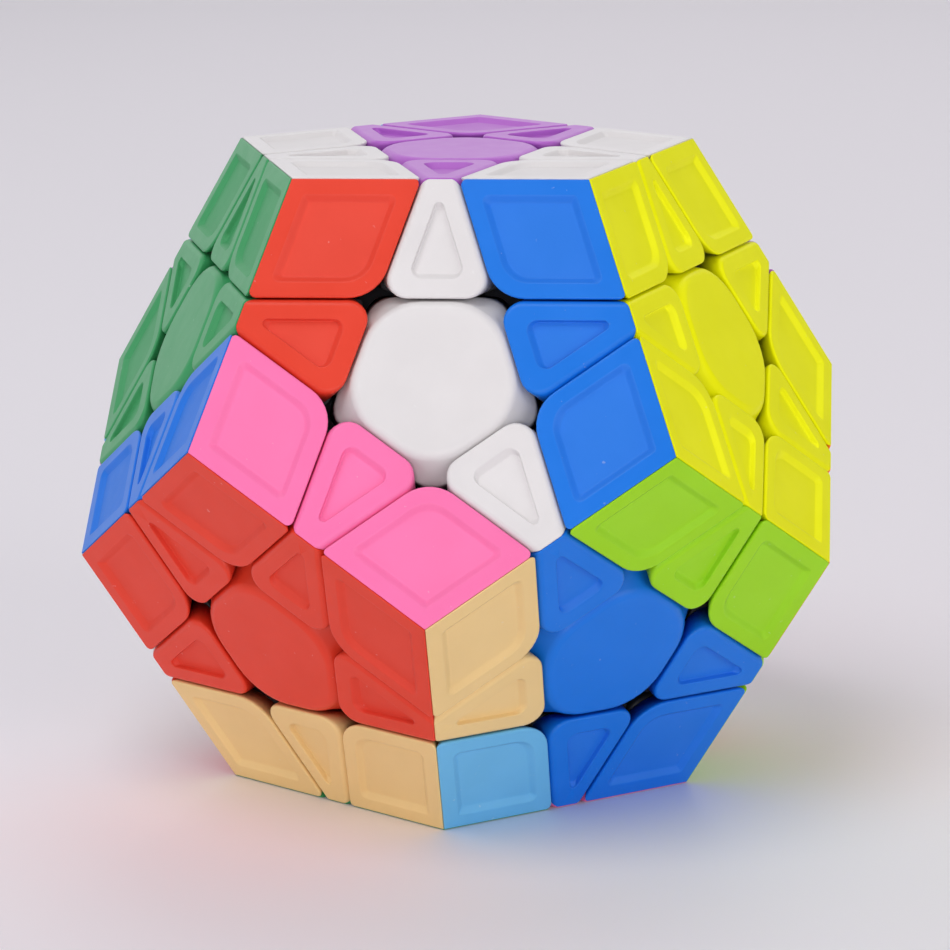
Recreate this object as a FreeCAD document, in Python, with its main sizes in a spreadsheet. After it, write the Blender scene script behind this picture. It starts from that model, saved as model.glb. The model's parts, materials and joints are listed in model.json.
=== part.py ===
import FreeCAD, Part
import math
import os

# A dodecahedron puzzle with three pieces along each edge: 20 corners, 30 edges and 12 centres on a
# hollow core ball. It stands on its pink face, and all twelve turning axes cross at the origin.
#
# Further out than transition_radius the pieces are parted by flat planes, one for each face. Inside
# that sphere they are parted by cones about the face axes. The cones are wider than the planes, so
# each corner's foot reaches under the edge pieces, and each edge's foot under the centres, and both
# kinds of surface let any layer turn about its own axis.

doc = FreeCAD.newDocument("dodecahedron_puzzle")
dims = doc.addObject("Spreadsheet::Sheet", "Dims")

DRIVING = [
    ("inradius_ratio", 1.11351636),  # a dodecahedron's inradius over its edge length
    ("tilt_sine", 0.89442719),       # of the angle between two neighbouring faces' axes
    ("edge_length", 30.0),        # along one ridge of the dodecahedron
    ("cut_distance", 12.75),      # from a ridge to the cut beside it, across a face
    ("gap", 0.3),                 # between neighbouring pieces
    ("transition_radius", 31.5),  # planes outside it, cones inside it
    ("ball_radius", 27.0),        # where the feet ride on the core
    ("cone_angle", 52.0),         # half angle of the cones about each face axis
    ("cone_clearance", 0.32),     # half the gap between two cones, in degrees
    ("neck_overlap", 0.4),        # how far a neck runs into the block above and the foot below
    ("overshoot", 1.0),           # how far a cutter runs past the surface it opens
    ("tile_thickness", 2.0),      # coloured shell on each piece
    ("corner_round", 4.2),        # radius of a corner piece's inner corners
    ("edge_round", 2.0),          # radius of an edge piece's inner corners
    ("cap_round", 1.6),           # radius of a cap's five corners
    ("disc_radius", 7.4),         # hub disc inside the cap's skirt
    ("disc_top", 32.2),           # height of the hub disc's top from the centre
    ("hub_radius", 4.5),
    ("hub_base", 19.8),           # height of the hub's foot from the centre
    ("hub_floor", 21.2),          # height of the bore's floor
    ("bore_radius", 3.2),
    ("screw_hole_radius", 1.5),
    ("shank_radius", 1.2),
    ("shank_tip", 15.0),
    ("head_base", 27.4),
    ("head_top", 29.4),
    ("head_radius", 2.6),
    ("drive_radius", 1.15),
    ("drive_depth", 1.2),
    ("washer_thickness", 0.4),
    ("washer_radius", 2.8),
    ("spring_outer_radius", 2.5),
    ("spring_inner_radius", 1.7),
    ("core_wall", 1.8),
    ("post_radius", 6.4),
    ("post_base", 14.0),
    ("socket_radius", 4.8),
    ("socket_floor", 19.5),
]
DERIVED = [
    ("inradius", "=edge_length * inradius_ratio"),
    ("cut_depth", "=cut_distance * tilt_sine"),
    ("layer_plane", "=inradius - cut_depth"),
    ("above_cut", "=layer_plane + gap / 2"),
    ("below_cut", "=layer_plane - gap / 2"),
    ("block_base", "=transition_radius + gap / 2"),
    ("foot_top", "=transition_radius - gap / 2"),
    ("foot_base", "=ball_radius + gap / 2"),
    ("ball_surface", "=ball_radius - gap / 2"),
    ("neck_base", "=foot_top - neck_overlap"),
    ("neck_top", "=block_base + neck_overlap"),
    ("tile_base", "=inradius - tile_thickness"),
    ("inner_cone", "=cone_angle - cone_clearance"),
    ("outer_cone", "=cone_angle + cone_clearance"),
    ("reach", "=edge_length * 1.3"),  # wider than any layer
    ("far", "=edge_length * 2"),      # well outside the puzzle
]
for row, (alias, value) in enumerate(DRIVING + DERIVED, start=1):
    cell = "A%d" % row
    dims.set(cell, str(value))
    dims.setAlias(cell, alias)
doc.recompute()

# Each face is named by the colour of its centre. The upper ring of faces points as far above the
# horizontal as the lower ring points below it.
RING = math.degrees(math.atan(0.5))
FACES = {
    "purple": (0, 90), "pink": (0, -90),
    "white": (-90, RING), "yellow": (-18, RING), "orange": (54, RING),
    "sky": (126, RING), "green": (-162, RING),
    "blue": (-54, -RING), "red": (-126, -RING), "lime": (18, -RING),
    "gray": (90, -RING), "cream": (162, -RING),
}


def direction(face):
    azimuth, elevation = [math.radians(angle) for angle in FACES[face]]
    flat = math.cos(elevation)
    return FreeCAD.Vector(flat * math.cos(azimuth), flat * math.sin(azimuth), math.sin(elevation))


# Where each corner piece stands (the three faces it touches) and the colours it shows on them.
CORNERS = [
    ("purple white yellow", "white blue yellow"),
    ("purple green white", "white green red"),
    ("purple yellow orange", "white yellow purple"),
    ("purple orange sky", "purple orange sky"),
    ("purple sky green", "white purple green"),
    ("white blue yellow", "blue lime yellow"),
    ("white green red", "pink blue red"),
    ("white red blue", "pink red cream"),
    ("yellow lime orange", "yellow orange purple"),
    ("yellow blue lime", "yellow lime orange"),
    ("orange gray sky", "lime pink gray"),
    ("orange lime gray", "cream gray pink"),
    ("sky cream green", "purple sky green"),
    ("sky gray cream", "orange lime gray"),
    ("green cream red", "blue white red"),
    ("blue red pink", "sky cream green"),
    ("blue pink lime", "blue pink lime"),
    ("red cream pink", "cream red green"),
    ("lime pink gray", "cream sky gray"),
    ("gray pink cream", "sky orange gray"),
]
# The same for each edge piece and its two faces.
EDGES = [
    ("purple white", "purple white"),
    ("purple yellow", "white yellow"),
    ("purple orange", "purple sky"),
    ("purple sky", "purple orange"),
    ("purple green", "white green"),
    ("white yellow", "blue yellow"),
    ("white green", "red green"),
    ("white blue", "white blue"),
    ("white red", "pink red"),
    ("yellow orange", "yellow purple"),
    ("yellow blue", "yellow lime"),
    ("yellow lime", "yellow orange"),
    ("orange sky", "pink lime"),
    ("orange lime", "pink gray"),
    ("orange gray", "cream pink"),
    ("sky green", "sky green"),
    ("sky gray", "sky orange"),
    ("sky cream", "cream gray"),
    ("green red", "blue red"),
    ("green cream", "green purple"),
    ("blue red", "cream red"),
    ("blue lime", "blue lime"),
    ("blue pink", "blue pink"),
    ("red cream", "red white"),
    ("red pink", "cream green"),
    ("lime gray", "sky cream"),
    ("lime pink", "orange lime"),
    ("gray cream", "gray orange"),
    ("gray pink", "sky gray"),
    ("cream pink", "gray lime"),
]
TOUCHING = 0.001   # a point nearer than this to a plane lies on it
NEARBY = 0.4       # neighbouring faces' axes have a larger cosine than this, and no others do

# The three layers that turn share no piece, because none of these faces touch each other.
TURNING = ["white", "orange", "pink"]
FIXED = [face for face in FACES if face not in TURNING]


def bind(obj, **expressions):
    for name, expression in expressions.items():
        obj.setExpression(name, expression)
    return obj


def place_along(obj, face, height):
    """Point an object's Z axis along a face's axis, and start it at a height from the centre."""
    axis = direction(face)
    obj.Placement = FreeCAD.Placement(
        FreeCAD.Vector(), FreeCAD.Rotation(FreeCAD.Vector(0, 0, 1), axis))
    for letter in "xyz":
        share = getattr(axis, letter)
        obj.setExpression("Placement.Base." + letter, "(%s) * %.12f" % (height, share))
    return obj


def disc(name, face, low, high, radius="Dims.far"):
    """A cylinder about a face's axis, between two heights from the centre."""
    obj = doc.addObject("Part::Cylinder", name)
    bind(obj, Radius=radius, Height="(%s) - (%s)" % (high, low))
    return place_along(obj, face, low)


def slab_of_layer(name, faces, top):
    return [disc(name + face, face, "Dims.above_cut", top, "Dims.reach") for face in faces]


def ball(name, radius):
    obj = doc.addObject("Part::Sphere", name)
    return bind(obj, Radius=radius)


def cone(name, face, angle):
    """A cone with its point at the centre, opening along a face's axis."""
    obj = doc.addObject("Part::Cone", name)
    obj.Radius1 = 0
    bind(obj, Radius2="Dims.far * tan(%s * 1deg)" % angle, Height="Dims.far")
    return place_along(obj, face, "0")


def common(name, shapes):
    obj = doc.addObject("Part::MultiCommon", name)
    obj.Shapes = shapes
    return obj


def fuse(name, shapes):
    obj = doc.addObject("Part::MultiFuse", name)
    obj.Shapes = shapes
    obj.Refine = True
    return obj


def cut(name, base, tool):
    obj = doc.addObject("Part::Cut", name)
    obj.Base = base
    obj.Tool = tool
    return obj


def shell(name, low, high):
    return cut(name, ball(name + "_outside", high), ball(name + "_inside", low))


def rounded(name, base, radius_alias, wanted):
    """Fillet the edges of an object for which wanted(edge) is true."""
    doc.recompute()
    radius = dims.get(radius_alias)
    obj = doc.addObject("Part::Fillet", name)
    obj.Base = base
    obj.Edges = [(number, radius, radius)
                 for number, edge in enumerate(base.Shape.Edges, start=1) if wanted(edge)]
    return obj


def on_plane(edge, face, alias):
    """True where both ends of an edge lie on a face's plane at a named distance."""
    distance = dims.get(alias)
    return all(abs(vertex.Point.dot(direction(face)) - distance) < TOUCHING
               for vertex in edge.Vertexes)


def mitre(name, face, other):
    """A large block on one face's side of the plane that halves the angle to another face."""
    normal = direction(face) - direction(other)
    normal.normalize()
    obj = doc.addObject("Part::Cylinder", name)
    bind(obj, Radius="Dims.far * 2", Height="Dims.far * 2")
    obj.Placement = FreeCAD.Placement(
        FreeCAD.Vector(), FreeCAD.Rotation(FreeCAD.Vector(0, 0, 1), normal))
    return obj


def tiles(kind, block, faces):
    """The coloured shells of a piece: one for each face, mitred where they meet at a ridge."""
    made = []
    for face in faces:
        skin = disc("%s_skin_%s" % (kind, face), face, "Dims.tile_base",
                    "Dims.inradius + Dims.overshoot")
        limits = [mitre("%s_mitre_%s_%s" % (kind, face, other), face, other)
                  for other in faces if other != face]
        made.append(common("%s_tile_%s" % (kind, face), [block, skin] + limits))
    return made


def body_block(kind, block, faces):
    """What is left of a block under its coloured shells."""
    skins = [disc("%s_off_%s" % (kind, face), face, "Dims.tile_base",
                  "Dims.inradius + Dims.overshoot") for face in faces]
    return cut(kind + "_body_block", block, fuse(kind + "_off", skins))


def corner_piece():
    faces = CORNERS[0][0].split()
    slabs = slab_of_layer("corner_slab_", faces, "Dims.inradius")
    rhomb = common("corner_rhomb", slabs)
    whole = cut("corner_outer", rhomb, ball("corner_hollow", "Dims.neck_base"))

    def inner(edge):
        return sum(on_plane(edge, face, "above_cut") for face in faces) == 2

    block = rounded("corner_block", whole, "corner_round", inner)
    foot_shell = shell("corner_foot_shell", "Dims.foot_base", "Dims.foot_top")
    cones = [cone("corner_cone_" + face, face, "Dims.inner_cone") for face in faces]
    foot = common("corner_foot", [foot_shell] + cones)
    body = fuse("corner_body", [body_block("corner", block, faces), foot])
    return tiles("corner", block, faces) + [body]


def edge_piece():
    faces = EDGES[0][0].split()
    ends = ["yellow", "green"]
    slabs = slab_of_layer("edge_slab_", faces, "Dims.inradius")
    beyond = [disc("edge_end_" + face, face, "Dims.below_cut", "Dims.far") for face in ends]
    bar = cut("edge_bar", common("edge_slabs", slabs), fuse("edge_ends", beyond))

    def inner(edge):
        sides = sum(on_plane(edge, face, "above_cut") for face in faces)
        return sides == 1 and sum(on_plane(edge, face, "below_cut") for face in ends) == 1

    rounded_bar = rounded("edge_rounded", bar, "edge_round", inner)
    block = cut("edge_block", rounded_bar, ball("edge_hollow", "Dims.block_base"))
    outside = fuse("edge_cone_ends",
                   [cone("edge_cone_" + face, face, "Dims.outer_cone") for face in ends])
    foot_shell = shell("edge_foot_shell", "Dims.foot_base", "Dims.foot_top")
    cones = [cone("edge_cone_in_" + face, face, "Dims.inner_cone") for face in faces]
    foot = cut("edge_foot", common("edge_foot_wide", [foot_shell] + cones), outside)
    neck_shell = shell("edge_neck_shell", "Dims.neck_base", "Dims.neck_top")
    neck_slabs = slab_of_layer("edge_neck_", faces, "Dims.far")
    neck = cut("edge_neck", common("edge_neck_wide", [neck_shell] + neck_slabs), outside)
    body = fuse("edge_body", [body_block("edge", block, faces), neck, foot])
    return tiles("edge", block, faces) + [body]


def cap_piece():
    around = ["white", "yellow", "orange", "sky", "green"]
    slab = disc("cap_slab", "purple", "Dims.layer_plane", "Dims.inradius", "Dims.reach")
    beyond = [disc("cap_side_" + face, face, "Dims.below_cut", "Dims.far") for face in around]
    pentagon = cut("cap_pentagon", slab, fuse("cap_sides", beyond))

    def upright(edge):
        return sum(on_plane(edge, face, "below_cut") for face in around) == 2

    rounded_cap = rounded("cap_rounded", pentagon, "cap_round", upright)
    block = cut("cap_block", rounded_cap, ball("cap_hollow", "Dims.block_base"))
    recess = disc("cap_recess", "purple", "Dims.layer_plane", "Dims.disc_top", "Dims.disc_radius")
    return cut("cap", block, recess)


def hub_piece():
    stem = disc("hub_stem", "purple", "Dims.hub_base", "Dims.disc_top", "Dims.hub_radius")
    plate = disc("hub_plate", "purple", "Dims.ball_radius", "Dims.disc_top", "Dims.disc_radius")
    ring = cut("hub_ring", plate, ball("hub_hollow", "Dims.block_base"))
    bore = disc("hub_bore", "purple", "Dims.hub_floor", "Dims.far", "Dims.bore_radius")
    hole = disc("hub_hole", "purple", "0", "Dims.far", "Dims.screw_hole_radius")
    return cut("hub", fuse("hub_solid", [stem, ring]), fuse("hub_holes", [bore, hole]))


def screw_piece():
    shank = disc("screw_shank", "purple", "Dims.shank_tip", "Dims.head_top", "Dims.shank_radius")
    head = disc("screw_head", "purple", "Dims.head_base", "Dims.head_top", "Dims.head_radius")
    drive = disc("screw_drive", "purple", "Dims.head_top - Dims.drive_depth", "Dims.far",
                 "Dims.drive_radius")
    return cut("screw", fuse("screw_solid", [shank, head]), drive)


def ring_piece(name, low, high, outer, inner):
    whole = disc(name + "_whole", "purple", low, high, outer)
    hole = disc(name + "_hole", "purple", "0", "Dims.far", inner)
    return cut(name, whole, hole)


def core_pieces():
    ball_shell = shell("core_shell", "Dims.ball_surface - Dims.core_wall", "Dims.ball_surface")
    posts = fuse("core_posts", [disc("core_post_" + face, face, "Dims.post_base", "Dims.far",
                                     "Dims.post_radius") for face in FACES])
    trimmed = common("core_posts_trimmed", [posts, ball("core_limit", "Dims.ball_surface")])
    sockets = [disc("core_socket_" + face, face, "Dims.socket_floor", "Dims.far",
                    "Dims.socket_radius") for face in FACES]
    pilots = [disc("core_pilot_" + face, face, "Dims.post_base - Dims.overshoot", "Dims.far",
                   "Dims.shank_radius") for face in FACES]
    whole = cut("core", fuse("core_solid", [ball_shell, trimmed]), fuse("core_holes", sockets + pilots))
    upper = disc("core_upper_side", "purple", "0", "Dims.far")
    lower = disc("core_lower_side", "pink", "0", "Dims.far")
    return {"core_upper_half": common("core_upper", [whole, upper]),
            "core_lower_half": common("core_lower", [whole, lower])}


def frame_of(first, second):
    """Three square axes from two face directions, as the columns of a matrix."""
    along = direction(first)
    side = direction(second) - along * along.dot(direction(second))
    side.normalize()
    third = along.cross(side)
    return FreeCAD.Matrix(along.x, side.x, third.x, 0,
                          along.y, side.y, third.y, 0,
                          along.z, side.z, third.z, 0,
                          0, 0, 0, 1)


def turn_between(start, end):
    """The turn of the whole dodecahedron that takes one pair of faces to another."""
    return FreeCAD.Placement(frame_of(*end) * frame_of(*start).transposed())


def neighbour(face):
    """Any one face that shares a ridge with this one."""
    for other in FACES:
        if other != face and direction(face).dot(direction(other)) > NEARBY:
            return other


nodes = {}


def add_node(label, solids):
    """A finished sub-part: a Part::Feature that holds copies of prototype solids."""
    node = doc.addObject("Part::Feature", label)
    node.Label = label
    node.Shape = solids[0] if len(solids) == 1 else Part.makeCompound(solids)
    nodes[label] = node
    return node


def add_piece(kind, colours, places, prototypes):
    label = kind + "_" + "_".join(colours.split())
    node = add_node(label, [prototype.Shape.copy() for prototype in prototypes])
    start = (CORNERS if kind == "corner" else EDGES)[0][0].split()
    node.Placement = turn_between(start[:2], places.split()[:2])


def add_group(label, prototypes, faces):
    """One node holding a copy of the prototypes at each of several faces."""
    solids = []
    for face in faces:
        turn = turn_between(("purple", "white"), (face, neighbour(face)))
        for prototype in prototypes:
            solid = prototype.Shape.copy()
            solid.Placement = turn.multiply(solid.Placement)
            solids.append(solid)
    add_node(label, solids)


corner_shapes = corner_piece()
edge_shapes = edge_piece()
cap = cap_piece()
hub = hub_piece()
screw = screw_piece()
lower_washer = ring_piece("lower_washer", "Dims.hub_floor",
                          "Dims.hub_floor + Dims.washer_thickness",
                          "Dims.washer_radius", "Dims.screw_hole_radius")
upper_washer = ring_piece("upper_washer", "Dims.head_base - Dims.washer_thickness",
                          "Dims.head_base", "Dims.washer_radius", "Dims.screw_hole_radius")
spring = ring_piece("spring", "Dims.hub_floor + Dims.washer_thickness",
                    "Dims.head_base - Dims.washer_thickness",
                    "Dims.spring_outer_radius", "Dims.spring_inner_radius")
core = core_pieces()
doc.recompute()

for places, colours in CORNERS:
    add_piece("corner", colours, places, corner_shapes)
for places, colours in EDGES:
    add_piece("edge", colours, places, edge_shapes)
add_group("centre_caps_fixed", [cap], FIXED)
add_group("centre_hubs_fixed", [hub], FIXED)
for face in TURNING:
    add_group("centre_%s" % face, [cap, hub], [face])
add_group("centre_screws", [screw], FACES)
add_group("centre_washers", [lower_washer, upper_washer], FACES)
add_group("centre_springs", [spring], FACES)
for label, half in core.items():
    add_node(label, [half.Shape.copy()])
doc.recompute()

for obj in doc.Objects:
    if "Invalid" in obj.State or "Error" in obj.State:
        raise RuntimeError("%s failed: %s" % (obj.Name, obj.State))
for label, node in nodes.items():
    if node.Shape.isNull() or not node.Shape.isValid():
        raise RuntimeError("%s has a bad shape" % label)

os.makedirs("parts", exist_ok=True)
for label, node in nodes.items():
    node.Shape.exportStep(os.path.join("parts", label + ".step"))
print("wrote %d nodes" % len(nodes))
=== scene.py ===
import json
import math

import bpy
import numpy as np
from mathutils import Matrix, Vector

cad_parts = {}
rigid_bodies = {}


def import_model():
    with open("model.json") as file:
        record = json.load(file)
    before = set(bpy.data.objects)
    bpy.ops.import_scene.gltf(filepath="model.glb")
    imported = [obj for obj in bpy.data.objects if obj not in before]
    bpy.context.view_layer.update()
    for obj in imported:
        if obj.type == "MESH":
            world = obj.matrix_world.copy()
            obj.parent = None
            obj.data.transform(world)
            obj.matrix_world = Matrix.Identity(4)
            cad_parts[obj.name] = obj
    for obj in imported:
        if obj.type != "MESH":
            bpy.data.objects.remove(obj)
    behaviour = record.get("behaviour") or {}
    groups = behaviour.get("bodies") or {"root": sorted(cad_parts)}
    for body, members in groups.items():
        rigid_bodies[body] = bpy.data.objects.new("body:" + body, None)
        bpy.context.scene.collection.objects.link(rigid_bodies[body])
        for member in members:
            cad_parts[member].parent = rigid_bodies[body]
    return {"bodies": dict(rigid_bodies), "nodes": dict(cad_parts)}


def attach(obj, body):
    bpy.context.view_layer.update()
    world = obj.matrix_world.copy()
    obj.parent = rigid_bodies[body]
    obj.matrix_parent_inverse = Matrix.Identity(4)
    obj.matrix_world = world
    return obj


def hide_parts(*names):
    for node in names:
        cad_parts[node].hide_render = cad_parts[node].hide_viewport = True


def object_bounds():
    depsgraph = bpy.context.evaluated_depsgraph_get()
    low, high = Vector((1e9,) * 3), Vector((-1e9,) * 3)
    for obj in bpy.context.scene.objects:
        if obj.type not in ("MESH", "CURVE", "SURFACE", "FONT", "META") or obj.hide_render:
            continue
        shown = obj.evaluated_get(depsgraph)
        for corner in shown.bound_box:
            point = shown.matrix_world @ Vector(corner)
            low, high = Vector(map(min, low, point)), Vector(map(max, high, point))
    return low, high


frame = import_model()
CAD_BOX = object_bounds()

# Sizes, in metres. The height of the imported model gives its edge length, and the rest follow.
MM = 0.001
INRADIUS_RATIO = 1.11351636                          # of a regular dodecahedron, to its edge
CUT_SHARE = 0.425                                    # of a ridge, from the ridge to the cut
LOW, HIGH = [Vector(corner) for corner in CAD_BOX]
INRADIUS = (HIGH.z - LOW.z) / 2
EDGE = INRADIUS / INRADIUS_RATIO
GAP = 0.18 * MM                                      # seen between neighbouring shells
BODY_GAP = 0.3 * MM                                  # between the dark bodies, and round the feet
FACE_TILT = math.radians(90) - math.atan(0.5)        # between the axes of two neighbouring faces
COS_TILT, SIN_TILT = math.cos(FACE_TILT), math.sin(FACE_TILT)
LAYER = INRADIUS - CUT_SHARE * EDGE * SIN_TILT       # from the centre to the plane under a layer
ABOVE_CUT = LAYER + GAP / 2
BELOW_CUT = LAYER - GAP / 2

# Planes part the dark bodies outside the step, and cones inside it, where the feet are.
STEP = 1.05 * EDGE
BLOCK_BASE = STEP + BODY_GAP / 2
FOOT_TOP = STEP - BODY_GAP / 2
FOOT_BASE = 0.9 * EDGE + BODY_GAP / 2
CONE, CONE_CLEARANCE = 52.0, 0.32                    # degrees
INNER_CONE = math.radians(CONE - CONE_CLEARANCE)
OUTER_CONE = math.radians(CONE + CONE_CLEARANCE)

SHELL_DEPTH = 2.6 * MM
SEAM = 0.012 * MM                                    # between two shells at a ridge
RIDGE_ROUND = 0.2 * MM
HOLD = 0.06 * MM                                     # keeps a flat face flat beside a rounded edge
LEAST_RADIUS = 0.05 * MM
ARC_STEPS = 8

# The faces are named by the colours of their centres: azimuth from +X, and elevation.
RING = math.degrees(math.atan(0.5))
FACES = {
    "purple": (0, 90), "pink": (0, -90),
    "white": (-90, RING), "yellow": (-18, RING), "orange": (54, RING),
    "sky": (126, RING), "green": (-162, RING),
    "blue": (-54, -RING), "red": (-126, -RING), "lime": (18, -RING),
    "gray": (90, -RING), "cream": (162, -RING),
}
# The three faces each corner piece touches, and the colours it shows on them.
CORNERS = [
    ("purple white yellow", "white blue yellow"),
    ("purple green white", "white green red"),
    ("purple yellow orange", "white yellow purple"),
    ("purple orange sky", "purple orange sky"),
    ("purple sky green", "white purple green"),
    ("white blue yellow", "blue lime yellow"),
    ("white green red", "pink blue red"),
    ("white red blue", "pink red cream"),
    ("yellow lime orange", "yellow orange purple"),
    ("yellow blue lime", "yellow lime orange"),
    ("orange gray sky", "lime pink gray"),
    ("orange lime gray", "cream gray pink"),
    ("sky cream green", "purple sky green"),
    ("sky gray cream", "orange lime gray"),
    ("green cream red", "blue white red"),
    ("blue red pink", "sky cream green"),
    ("blue pink lime", "blue pink lime"),
    ("red cream pink", "cream red green"),
    ("lime pink gray", "cream sky gray"),
    ("gray pink cream", "sky orange gray"),
]
# The same for the edge pieces.
EDGES = [
    ("purple white", "purple white"), ("purple yellow", "white yellow"),
    ("purple orange", "purple sky"), ("purple sky", "purple orange"),
    ("purple green", "white green"), ("white yellow", "blue yellow"),
    ("white green", "red green"), ("white blue", "white blue"),
    ("white red", "pink red"), ("yellow orange", "yellow purple"),
    ("yellow blue", "yellow lime"), ("yellow lime", "yellow orange"),
    ("orange sky", "pink lime"), ("orange lime", "pink gray"),
    ("orange gray", "cream pink"), ("sky green", "sky green"),
    ("sky gray", "sky orange"), ("sky cream", "cream gray"),
    ("green red", "blue red"), ("green cream", "green purple"),
    ("blue red", "cream red"), ("blue lime", "blue lime"),
    ("blue pink", "blue pink"), ("red cream", "red white"),
    ("red pink", "cream green"), ("lime gray", "sky cream"),
    ("lime pink", "orange lime"), ("gray cream", "gray orange"),
    ("gray pink", "sky gray"), ("cream pink", "gray lime"),
]
# Colours as they are seen on a screen, 0 to 255.
COLOURS = {
    "red": (230, 62, 38), "blue": (14, 118, 225), "white": (226, 222, 222),
    "pink": (254, 120, 178), "yellow": (246, 246, 4), "lime": (160, 220, 12),
    "cream": (240, 206, 143), "sky": (110, 187, 233), "green": (62, 158, 98),
    "purple": (184, 104, 204), "orange": (252, 132, 20), "gray": (112, 116, 122),
}


def unit(vector):
    return vector / np.linalg.norm(vector)


def direction(face):
    """The way out through the middle of a face."""
    azimuth, elevation = [math.radians(angle) for angle in FACES[face]]
    flat = math.cos(elevation)
    return np.array([flat * math.cos(azimuth), flat * math.sin(azimuth), math.sin(elevation)])


def touching(face):
    """The five faces that share a ridge with this one."""
    axis = direction(face)
    return [other for other in FACES if abs(axis @ direction(other) - COS_TILT) < 0.01]


def body_of(places):
    """The body that the piece at these places rides on."""
    for name in frame["bodies"]:
        if name.replace("layer_", "") in places:
            return name
    return "root"


def ways_round(axis, towards, count):
    """Directions square to an axis and evenly round it. The first one leans towards a given way."""
    side = unit(towards - (towards @ axis) * axis)
    turns = np.linspace(0, 2 * math.pi, count, endpoint=False)
    return np.outer(np.cos(turns), side) + np.outer(np.sin(turns), np.cross(axis, side))


def smooth(share):
    """A share from 0 to 1 that starts and ends gently."""
    share = min(max(share, 0), 1)
    return share * share * (3 - 2 * share)


# ---------------------------------------------------------------- materials

def linear(colour):
    """A colour seen on a screen, as the shader's own linear numbers."""
    shares = [value / 255 for value in colour]
    return tuple(s / 12.92 if s <= 0.04045 else ((s + 0.055) / 1.055) ** 2.4 for s in shares)


class Finish:
    """A new material whose noises keep their place on the object."""

    def __init__(self, name):
        self.material = bpy.data.materials.new(name)
        self.material.use_nodes = True
        self.nodes = self.material.node_tree.nodes
        self.links = self.material.node_tree.links
        self.shader = self.nodes["Principled BSDF"]
        self.place = self.nodes.new("ShaderNodeTexCoord").outputs["Object"]

    def noise(self, scale, detail):
        node = self.nodes.new("ShaderNodeTexNoise")
        node.inputs["Scale"].default_value = scale
        node.inputs["Detail"].default_value = detail
        self.links.new(self.place, node.inputs["Vector"])
        return node.outputs["Fac"]

    def ramp(self, source, sources, results):
        """A value, moved from one range to another."""
        node = self.nodes.new("ShaderNodeMapRange")
        names = ("From Min", "From Max", "To Min", "To Max")
        for key, value in zip(names, (*sources, *results)):
            node.inputs[key].default_value = value
        self.links.new(source, node.inputs["Value"])
        return node.outputs["Result"]

    def mix(self, share, second):
        """A node whose first colour is still to be set, or linked."""
        node = self.nodes.new("ShaderNodeMix")
        node.data_type = "RGBA"
        node.inputs["B"].default_value = (*second, 1)
        self.links.new(share, node.inputs["Factor"])
        return node

    def bump(self, height, strength, distance):
        node = self.nodes.new("ShaderNodeBump")
        node.inputs["Strength"].default_value = strength
        node.inputs["Distance"].default_value = distance
        self.links.new(height, node.inputs["Height"])
        self.links.new(node.outputs["Normal"], self.shader.inputs["Normal"])


def plastic(name, colour, roughness, grain, haze=0.0, gloss=0.3):
    """Moulded ABS: a fine grain, slow changes of tone and gloss, and a few pale specks.

    A painted sheen moves the colour towards a pale gray, by the share given after the grain.
    """
    # The first value is the pale gray of the painted sheen. The other two are the specks' level and
    # strength.
    sheen_gray, speck_level, speck_strength = 0.72, 0.9, 0.35
    finish = Finish(name)
    # Painted sheen: the base colour moves part of the way towards a pale gray.
    base = [value + (sheen_gray - value) * haze for value in linear(colour)]
    lighter = [min(1, value * 1.03 + 0.004) for value in base]
    pale = [value + (speck_level - value) * 0.5 for value in base]
    tone = finish.mix(finish.ramp(finish.noise(160, 3), (0.35, 0.65), (0, 1)), lighter)
    tone.inputs["A"].default_value = (*base, 1)
    specks = finish.mix(finish.ramp(finish.noise(1500, 2), (0.74, 0.78), (0, speck_strength)), pale)
    finish.links.new(tone.outputs["Result"], specks.inputs["A"])
    finish.links.new(specks.outputs["Result"], finish.shader.inputs["Base Color"])
    spread = (roughness - 0.03, roughness + 0.03)
    finish.links.new(finish.ramp(finish.noise(420, 4), (0.3, 0.7), spread),
                     finish.shader.inputs["Roughness"])
    finish.bump(finish.noise(5200, 2), 0.35, grain)
    finish.shader.inputs["Specular IOR Level"].default_value = gloss
    return finish.material


def steel(name, roughness, scale):
    """Turned or drawn steel, with a fine unevenness in its gloss and its surface."""
    finish = Finish(name)
    finish.shader.inputs["Base Color"].default_value = (0.56, 0.56, 0.58, 1)
    finish.shader.inputs["Metallic"].default_value = 1
    uneven = finish.noise(scale, 2)
    spread = (roughness - 0.08, roughness + 0.12)
    finish.links.new(finish.ramp(uneven, (0, 1), spread), finish.shader.inputs["Roughness"])
    finish.bump(uneven, 1, 0.01 * MM)
    return finish.material


# Yellow has less gloss, which keeps it saturated in this light.
GLOSS = {name: 0.08 if name == "yellow" else 0.3 for name in COLOURS}
RIM = {name: plastic("rim_" + name, colour, 0.36, 0.012 * MM, gloss=GLOSS[name])
       for name, colour in COLOURS.items()}
# The panels get a little painted sheen, a pale gray mixed into their colour.
PANEL = {name: plastic("panel_" + name, colour, 0.5, 0.02 * MM, haze=0.015, gloss=GLOSS[name])
         for name, colour in COLOURS.items()}
DARK = plastic("inner_plastic", (38, 38, 42), 0.5, 0.03 * MM)
SCREW_STEEL = steel("screw_steel", 0.34, 1800)
SPRING_STEEL = steel("spring_steel", 0.25, 900)


# ---------------------------------------------------------------- meshes

def new_piece(name, points, faces, materials, body):
    """A mesh piece that rides on a body and belongs to a material slot."""
    mesh = bpy.data.meshes.new(name)
    mesh.from_pydata([tuple(point) for point in points], [], faces)
    for material in materials:
        mesh.materials.append(material)
    piece = bpy.data.objects.new(name, mesh)
    bpy.context.scene.collection.objects.link(piece)
    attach(piece, body)
    return piece


def band(low, high, count):
    """The faces between two rings of points, which start at these two numbers."""
    steps = [(step, (step + 1) % count) for step in range(count)]
    return [(low + step, low + after, high + after, high + step) for step, after in steps]


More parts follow.
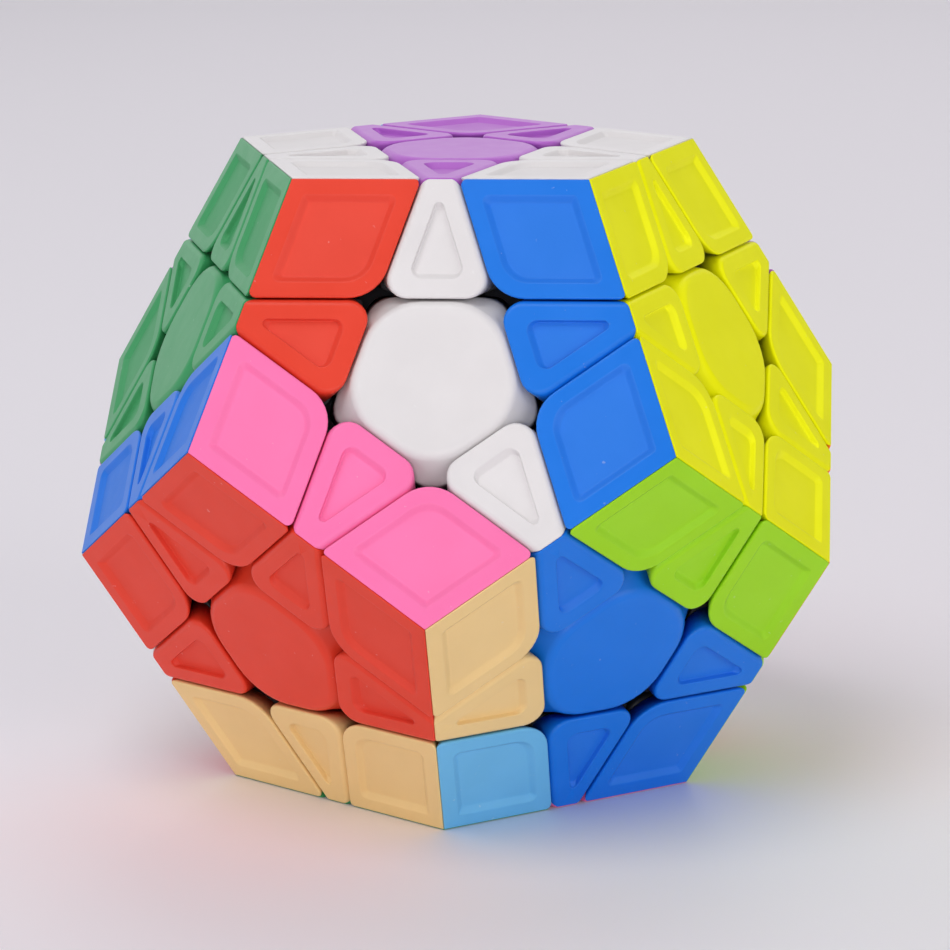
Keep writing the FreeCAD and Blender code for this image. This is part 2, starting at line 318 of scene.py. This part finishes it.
def solid(name, rings, materials, body, panel_from=None):
    """A closed solid lofted through rings of points, with a fan at each end.

    The second material starts at the ring panel_from.
    """
    count = len(rings[0])
    points = np.vstack(rings + [rings[0].mean(0), rings[-1].mean(0)])
    faces, levels = [], []
    for level in range(len(rings) - 1):
        faces += band(level * count, (level + 1) * count, count)
        levels += [level] * count
    first, last, top = len(points) - 2, len(points) - 1, (len(rings) - 1) * count
    for step in range(count):
        after = (step + 1) % count
        faces += [(first, after, step), (last, top + step, top + after)]
        levels += [-1, len(rings)]
    piece = new_piece(name, points, faces, materials, body)
    if panel_from is not None:
        for polygon, level in zip(piece.data.polygons, levels):
            polygon.material_index = int(level >= panel_from)
    piece.data.shade_smooth()
    weighted = piece.modifiers.new("even_shading", "WEIGHTED_NORMAL")
    weighted.keep_sharp = True
    return piece


class Facelet:
    """The outline of one coloured face of a piece, on one face of the dodecahedron.

    Each side is given as the face it looks towards, 1 or -1 for towards or away, and "ridge" or
    "cut". It has an angle round the face, a distance from the face's centre, and a slope: how fast
    it moves out with depth. The sides are kept in the order of their angles.
    """

    def __init__(self, face, sides):
        self.axis = direction(face)
        self.across = self.flat(sides[0][0])
        self.up = np.cross(self.axis, self.across)
        self.angles, self.offsets, self.slopes, self.is_cut = [], [], [], []
        for other, sign, kind in sides:
            way = self.flat(other) * sign
            self.angles.append(math.atan2(way @ self.up, way @ self.across) % (2 * math.pi))
            self.is_cut.append(kind != "ridge")
            if kind == "ridge":
                slope = (1 - COS_TILT) / SIN_TILT
                self.offsets.append(INRADIUS * slope)
                self.slopes.append(-slope)
            else:
                plane = ABOVE_CUT if sign < 0 else BELOW_CUT
                self.offsets.append(sign * (plane - COS_TILT * INRADIUS) / SIN_TILT)
                self.slopes.append(sign * COS_TILT / SIN_TILT)
        order = np.argsort(self.angles)
        for values in (self.angles, self.offsets, self.slopes, self.is_cut):
            values[:] = [values[index] for index in order]

    def flat(self, other):
        """The way across this face towards another face."""
        axis = direction(other)
        return unit(axis - (axis @ self.axis) * self.axis)

    def corner_values(self, ridge_ridge, ridge_cut, cut_cut):
        """A value for each corner of the outline, by the kinds of its two sides."""
        after = self.is_cut[1:] + self.is_cut[:1]
        return [[ridge_ridge, ridge_cut, cut_cut][int(one) + int(two)]
                for one, two in zip(self.is_cut, after)]

    def ring(self, depth, insets, radii, tip=None):
        """The outline at a depth, with each side moved in and each corner rounded.

        With a tip, the ridge side's two corners take that radius, and the side moves in far enough
        that its neighbours can't cross.
        """
        lines = [offset + slope * depth - inset
                 for offset, slope, inset in zip(self.offsets, self.slopes, insets)]
        radii = list(radii)
        if tip:
            side = self.is_cut.index(False)
            lines[side] = min(lines[side], self.tip_line(side, lines, tip))
            radii[side - 1] = radii[side] = tip
        points = []
        for side, radius in enumerate(radii):
            after = (side + 1) % len(lines)
            start, end = self.angles[side], self.angles[after]
            if end < start:
                end += 2 * math.pi
            ways = np.array([[math.cos(start), math.sin(start)], [math.cos(end), math.sin(end)]])
            centre = np.linalg.solve(ways, [lines[side] - radius, lines[after] - radius])
            for turn in np.linspace(start, end, ARC_STEPS):
                spot = centre + radius * np.array([math.cos(turn), math.sin(turn)])
                points.append(self.axis * (INRADIUS - depth)
                              + self.across * spot[0] + self.up * spot[1])
        return np.array(points)

    def tip_line(self, side, lines, radius):
        """Where a short side lies if its two neighbours meet in a tip of this radius."""
        after_side = (side + 1) % len(lines)
        before, after = self.angles[side - 1], self.angles[after_side]
        ways = np.array([[math.cos(before), math.sin(before)], [math.cos(after), math.sin(after)]])
        point = np.linalg.solve(ways, [lines[side - 1], lines[after_side]])
        reach = point @ [math.cos(self.angles[side]), math.sin(self.angles[side])]
        half = (math.pi - (after - before) % (2 * math.pi)) / 2
        return reach - radius * (1 / math.sin(half) - 1)


def rounding(depth, radius):
    """How far a wall has turned in at a depth under a rounded edge."""
    rise = max(0.0, radius - depth)
    return radius - math.sqrt(radius * radius - rise * rise)


def edge_depths(radius):
    """Depths that follow a rounded edge, deepest first."""
    turns = [math.radians(angle) for angle in (0, 18, 36, 54, 72, 90)]
    return [radius * (1 - math.sin(turn)) for turn in turns]


def shrunk(radii, insets, least):
    """Corner radii after the sides have moved in."""
    return [max(radius - inset, least) for radius, inset in zip(radii, insets)]


# ---------------------------------------------------------------- the coloured shells and caps

def shell_rings(facelet, radii, soft, rims, panel_radii, recess, slope_width, tips=None):
    """The rings of a coloured shell: wall, rounded edge, flat rim, and a recessed panel.

    Soft is the radius along the cuts. Tips are the radii of a panel's narrow end, at the top and at
    the foot of its slope. The second value returned is the ring at which the panel starts.
    """
    depths = sorted(set([SHELL_DEPTH] + edge_depths(soft) + edge_depths(RIDGE_ROUND)), reverse=True)
    rings = []
    for depth in depths:
        insets = [rounding(depth, soft) if is_cut else SEAM + rounding(depth, RIDGE_ROUND)
                  for is_cut in facelet.is_cut]
        rings.append(facelet.ring(depth, insets, shrunk(radii, insets, LEAST_RADIUS)))
    insets = [(soft if is_cut else SEAM + RIDGE_ROUND) + HOLD for is_cut in facelet.is_cut]
    rings.append(facelet.ring(0, insets, shrunk(radii, insets, LEAST_RADIUS)))

    def panel_ring(depth, inset):
        tip = None if tips is None else np.interp(inset, [0, slope_width], tips)
        return facelet.ring(depth, [rim + inset for rim in rims],
                            shrunk(panel_radii, [inset] * len(rims), 1.2 * LEAST_RADIUS), tip)

    rings.append(panel_ring(0, -HOLD))
    panel_from = len(rings)
    for share in np.linspace(0, 1, 9):
        rings.append(panel_ring(recess * smooth(share), slope_width * share))
    rings.append(panel_ring(recess, slope_width + HOLD))
    return rings, panel_from


def piece_outline(face, others, ends):
    """The outline of a piece on one of its faces: a ridge towards each of its other faces, a cut on
    the side away from each of them, and for an edge piece a cut at each end."""
    sides = [(other, 1, "ridge") for other in others] + [(other, -1, "cut") for other in others]
    return Facelet(face, sides + [(end, 1, "cut") for end in ends])


def corner_shell(face, others, ends):
    """One of a corner's three shells. Its rim is even all round a shallow panel."""
    facelet = piece_outline(face, others, ends)
    radii = facelet.corner_values(0.16 * MM, 0.6 * MM, 0.14 * EDGE)
    panel_radii = facelet.corner_values(0.5 * MM, 0.7 * MM, 0.1 * EDGE)
    soft, rim, recess, slope_width = 0.42 * MM, 0.057 * EDGE, 0.5 * MM, 0.48 * MM
    return shell_rings(facelet, radii, soft, [rim] * 4, panel_radii, recess, slope_width)


def edge_shell(face, others, ends):
    """One of an edge piece's two shells: a narrow wedge with a deeper, rounded triangular panel."""
    facelet = piece_outline(face, others, ends)
    radii = facelet.corner_values(0, 0.5 * MM, 0.067 * EDGE)
    panel_radii = facelet.corner_values(0, 0.5 * MM, 1.1 * MM)
    side_rim, inner_rim, ridge_rim = 0.06 * EDGE, 0.07 * EDGE, 0.075 * EDGE
    rims = []
    for angle, is_cut in zip(facelet.angles, facelet.is_cut):
        opposite = abs(angle - math.pi) < 0.1
        rims.append(ridge_rim if not is_cut else inner_rim if opposite else side_rim)
    soft, recess, slope_width, tips = 0.45 * MM, 0.62 * MM, 0.45 * MM, (0.55 * MM, 0.3 * MM)
    return shell_rings(facelet, radii, soft, rims, panel_radii, recess, slope_width, tips)


def cap_rings(face):
    """A centre cap: a flat rounded pentagon with a soft edge, over a skirt that flares out to
    sharper corners and ends on the sphere above the edge pieces' feet."""
    facelet = Facelet(face, [(other, 1, "cut") for other in touching(face)])
    soft, round_corner, skirt_corner, least = 0.6 * MM, 0.2 * EDGE, 0.03 * EDGE, 0.5 * MM
    side_gap, flat_inset = 0.1 * MM, 0.09 * INRADIUS
    flare_start, flare_end, deepest = 1.2 * MM, 4.8 * MM, 5.5 * MM
    skirt_end, skirt_rings = BLOCK_BASE + 0.3 * MM, 4

    def outline(depth, extra=0.0):
        insets = [rounding(depth, soft) + extra + side_gap] * 5
        share = smooth((depth - flare_start) / (flare_end - flare_start))
        radius = round_corner + (skirt_corner - round_corner) * share
        return facelet.ring(depth, insets, shrunk([radius] * 5, insets, least))

    depths = np.linspace(soft, deepest, 12)
    paths = np.array([outline(depth) for depth in depths])
    skirt = []
    for path in paths.transpose(1, 0, 2):
        end = np.interp(0, skirt_end - np.linalg.norm(path, axis=1), depths)
        stops = np.linspace(end, soft, skirt_rings + 1)[:-1]
        skirt.append([[np.interp(stop, depths, path[:, k]) for k in range(3)] for stop in stops])
    skirt = list(np.array(skirt).transpose(1, 0, 2))
    underside = []
    for share in (0.15, 0.45, 0.75):
        aims = skirt[0] * share + facelet.axis * skirt_end * (1 - share)
        underside.append(aims / np.linalg.norm(aims, axis=1)[:, None] * skirt_end)
    edge = [outline(depth) for depth in edge_depths(soft)]
    return underside + skirt + edge + [outline(0, HOLD), outline(0, flat_inset)]


# ---------------------------------------------------------------- the dark bodies under the shells

NO_LIMIT = 2.0                                       # radians, wider than any piece


def limit_angle(axis, ways, normal, cosine, inside):
    """How far from a piece's axis, each way round, one spherical circle lets the piece reach."""
    along, aside = axis @ normal, ways @ normal
    size, lean = np.hypot(along, aside), np.arctan2(aside, along)
    share = np.clip(cosine / size, -1, 1)
    if inside:
        return lean + np.arccos(share)
    hits = (cosine / size <= 1) & (lean - np.arccos(share) > 0)
    return np.where(hits, lean - np.arccos(share), NO_LIMIT)


def soft_least(angles, power):
    """The least of several angles, with its corners rounded. A higher power leaves them sharper."""
    total = sum(np.clip(angle, 0.01, 3) ** -power for angle in angles)
    return total ** (-1 / power)


def dark_body(name, faces, ends, body, power):
    """The block, neck and foot of a corner or edge piece, which its shells cover."""
    axis = unit(sum(direction(face) for face in faces))
    ways = ways_round(axis, direction(faces[0]), 48)
    inside = 0.985                                   # keeps the sides clear of the cuts
    foot_round = 0.3 * MM

    def reach(radius, planes):
        """Angles from the axis at a radius, between planes or between cones."""
        if planes:
            own, end = (LAYER + BODY_GAP / 2) / radius, (LAYER - BODY_GAP / 2) / radius
        else:
            own, end = math.cos(INNER_CONE), math.cos(OUTER_CONE)
        angles = [limit_angle(axis, ways, direction(face), own, True) for face in faces]
        angles += [limit_angle(axis, ways, direction(face), end, False) for face in ends]
        return inside * soft_least(angles, power)

    def block_reach(radii):
        """The same between planes, with a radius of its own for each way round."""
        return np.array([reach(radius, True)[index] for index, radius in enumerate(radii)])

    def aims(angle):
        return np.cos(angle)[:, None] * axis + np.sin(angle)[:, None] * ways

    def spots(radius, angle):
        return np.broadcast_to(radius, angle.shape)[:, None] * aims(angle)

    def under_shells(angle):
        """The radius at which a direction meets the underside of the shells."""
        depth = INRADIUS - SHELL_DEPTH
        return np.min([depth / (aims(angle) @ direction(face)) for face in faces], axis=0)

    foot = reach(FOOT_BASE, False)
    neck = np.minimum(foot, reach(FOOT_TOP, True))
    rings = [spots(FOOT_BASE, foot * share) for share in (0.1, 0.4, 0.7, 0.9)]
    rings += [spots(FOOT_BASE + foot_round, foot), spots(FOOT_TOP - foot_round, foot),
              spots(FOOT_TOP, foot * 0.95), spots(FOOT_TOP, neck), spots(BLOCK_BASE, neck)]
    farthest, halvings = 1.4 * EDGE, 30
    low, high = np.full(len(ways), BLOCK_BASE), np.full(len(ways), farthest)
    for _ in range(halvings):
        middle = (low + high) / 2
        beyond = middle > under_shells(block_reach(middle))
        low, high = np.where(beyond, low, middle), np.where(beyond, middle, high)
    for share in (0, 0.5, 1):
        radius = BLOCK_BASE + (low - BLOCK_BASE) * share
        top = block_reach(radius)
        rings.append(spots(radius, top))
    rings += [spots(under_shells(top * share), top * share) for share in (0.6, 0.25)]
    return solid(name, rings, [DARK], body)


# ---------------------------------------------------------------- the pieces

def make_pieces(kind, table, shell, power):
    """All corner or edge pieces. Each CAD node gives way to a dark body and its coloured shells."""
    for places, colours in table:
        places, colours = places.split(), colours.split()
        ends = [face for face in FACES if all(face in touching(place) for place in places)]
        node = kind + "_" + "_".join(colours)
        body = body_of(places)
        parts = [dark_body(node + "_body", places, ends, body, power)]
        for face, colour in zip(places, colours):
            others = [other for other in places if other != face]
            rings, panel_from = shell(face, others, ends)
            parts.append(solid("%s_shell_%s" % (node, colour), rings, [RIM[colour], PANEL[colour]],
                               body, panel_from))
        for part in parts:
            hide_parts(node)


def make_centres():
    """Caps, hubs and springs. The layers that turn have centre nodes of their own."""
    for face in FACES:
        body = body_of([face])
        cap = solid("cap_" + face, cap_rings(face), [RIM[face]], body)
        if body == "root":
            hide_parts("centre_caps_fixed")
        else:
            for part in (cap, make_hub(face, body)):
                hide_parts("centre_" + face)
        make_spring(face)


# The hub's section, as radius and height in mm: from its foot up the outside, over the disc, and
# down into its bore.
HUB = [(1.5, 19.8), (4.3, 19.8), (4.5, 20.0), (4.5, 31.33), (7.35, 30.78), (7.4, 32.1), (7.3, 32.2),
       (3.3, 32.2), (3.2, 32.1), (3.2, 21.2), (1.5, 21.2)]


def make_hub(face, body):
    """A tube, so its section closes on itself instead of ending in fans."""
    axis, count = direction(face), 40
    ways = ways_round(axis, direction(touching(face)[0]), count)
    points = np.vstack([axis * height * MM + ways * radius * MM for radius, height in HUB])
    faces = []
    for level in range(len(HUB)):
        faces += band(level * count, (level + 1) % len(HUB) * count, count)
    return new_piece("hub_" + face, points, faces, [DARK], body)


def make_spring(face):
    """A coil spring with closed ends, between the two washers on a centre screw."""
    wire, mean, low, high, turns = 0.35 * MM, 2.1 * MM, 21.6 * MM, 27.0 * MM, 5.5
    closed_end, steps_per_turn = 0.1, 12
    axis = direction(face)
    side = ways_round(axis, direction(touching(face)[0]), 1)[0]
    other = np.cross(axis, side)
    curve = bpy.data.curves.new("spring_" + face, "CURVE")
    curve.dimensions = "3D"
    curve.bevel_depth = wire
    curve.bevel_resolution = 3
    curve.use_fill_caps = True
    line = curve.splines.new("NURBS")
    steps = int(turns * steps_per_turn)
    line.points.add(steps)
    for step in range(steps + 1):
        turn = 2 * math.pi * turns * step / steps
        share = min(max((step / steps - closed_end) / (1 - 2 * closed_end), 0), 1)
        height = low + wire + (high - low - 2 * wire) * share
        spot = axis * height + mean * (math.cos(turn) * side + math.sin(turn) * other)
        line.points[step].co = (*spot, 1)
    line.order_u = 4
    line.use_endpoint_u = True
    curve.materials.append(SPRING_STEEL)
    piece = bpy.data.objects.new("spring_" + face, curve)
    bpy.context.scene.collection.objects.link(piece)
    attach(piece, "root")
    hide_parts("centre_springs")


def paint_inner_nodes():
    """The inner pieces keep their CAD shapes."""
    finishes = {"core_upper_half": DARK, "core_lower_half": DARK, "centre_hubs_fixed": DARK,
                "centre_screws": SCREW_STEEL, "centre_washers": SCREW_STEEL}
    for node, material in finishes.items():
        mesh = frame["nodes"][node].data
        mesh.materials.clear()
        mesh.materials.append(material)


# ---------------------------------------------------------------- the studio

def floor():
    """A wide floor of smooth pale card under the puzzle."""
    reach, height = 12.0, -INRADIUS
    material = bpy.data.materials.new("studio_paper")
    material.use_nodes = True
    shader = material.node_tree.nodes["Principled BSDF"]
    shader.inputs["Base Color"].default_value = (*linear((240, 236, 241)), 1)
    shader.inputs["Roughness"].default_value = 0.6
    shader.inputs["Specular IOR Level"].default_value = 0.12
    mesh = bpy.data.meshes.new("studio_floor")
    mesh.from_pydata([(-reach, -reach, height), (reach, -reach, height),
                      (reach, reach, height), (-reach, reach, height)], [], [(0, 1, 2, 3)])
    mesh.materials.append(material)
    ground = bpy.data.objects.new("studio_floor", mesh)
    bpy.context.scene.collection.objects.link(ground)


def surroundings():
    """A plain room, brightest behind the puzzle on the left."""
    brightest_way, dim, bright = (-0.45, 0.89, 0), 0.3, 0.95
    glow_start, glow_full = 0.3, 0.95                # cosines of the angle from the brightest way
    world = bpy.data.worlds.new("studio")
    world.use_nodes = True
    nodes, links = world.node_tree.nodes, world.node_tree.links
    along = nodes.new("ShaderNodeVectorMath")
    along.operation = "DOT_PRODUCT"
    along.inputs[1].default_value = brightest_way
    links.new(nodes.new("ShaderNodeTexCoord").outputs["Generated"], along.inputs[0])
    glow = nodes.new("ShaderNodeMapRange")
    glow.interpolation_type = "SMOOTHSTEP"
    glow.inputs["From Min"].default_value = glow_start
    glow.inputs["From Max"].default_value = glow_full
    glow.inputs["To Min"].default_value = dim
    glow.inputs["To Max"].default_value = bright
    links.new(along.outputs["Value"], glow.inputs["Value"])
    background = nodes["Background"]
    background.inputs["Color"].default_value = (0.96, 0.95, 1.0, 1)
    links.new(glow.outputs["Result"], background.inputs["Strength"])
    bpy.context.scene.world = world


# Round lamps that look at the puzzle: place, width and power.
SOFTBOXES = {
    "key_above": ((-0.25, -0.35, 0.9), 0.7, 3.5),
    "front_left": ((-1.6, -1.6, 0.5), 1.6, 6.2),
    "front_right": ((1.6, -1.4, 0.6), 1.6, 11.6),
    "low_front": ((0.1, -2.0, 0.24), 0.6, 7.2),
    "behind": ((0.1, 0.7, 0.7), 0.8, 1.6),
}


def studio():
    """The floor, the room and the lamps."""
    floor()
    surroundings()
    for name, (spot, width, watts) in SOFTBOXES.items():
        light = bpy.data.lights.new(name, "AREA")
        light.shape = "DISK"
        light.size = width
        light.energy = watts
        lamp = bpy.data.objects.new(name, light)
        lamp.location = spot
        lamp.rotation_euler = (-Vector(spot)).to_track_quat("-Z", "Y").to_euler()
        bpy.context.scene.collection.objects.link(lamp)
    bpy.context.scene.view_settings.view_transform = "Standard"


def camera():
    """The photo's viewpoint, as it was fitted to the corners of the puzzle."""
    azimuth, elevation, distance = math.radians(-84.54), math.radians(12.79), 0.4283
    target, roll = Vector((1.3, -0.3, -1.8)) * MM, math.radians(-0.66)
    lens = bpy.data.cameras.new("camera")
    lens.lens = 151.8
    lens.sensor_width = 36
    lens.dof.use_dof = False
    eye = bpy.data.objects.new("camera", lens)
    eye.location = (distance * math.cos(elevation) * math.cos(azimuth),
                    distance * math.cos(elevation) * math.sin(azimuth),
                    distance * math.sin(elevation))
    turn = (target - eye.location).to_track_quat("-Z", "Y").to_euler()
    turn.rotate_axis("Z", roll)
    eye.rotation_euler = turn
    bpy.context.scene.collection.objects.link(eye)
    bpy.context.scene.camera = eye


camera()
studio()
paint_inner_nodes()
make_pieces("corner", CORNERS, corner_shell, power=6)
make_pieces("edge", EDGES, edge_shell, power=9)
make_centres()
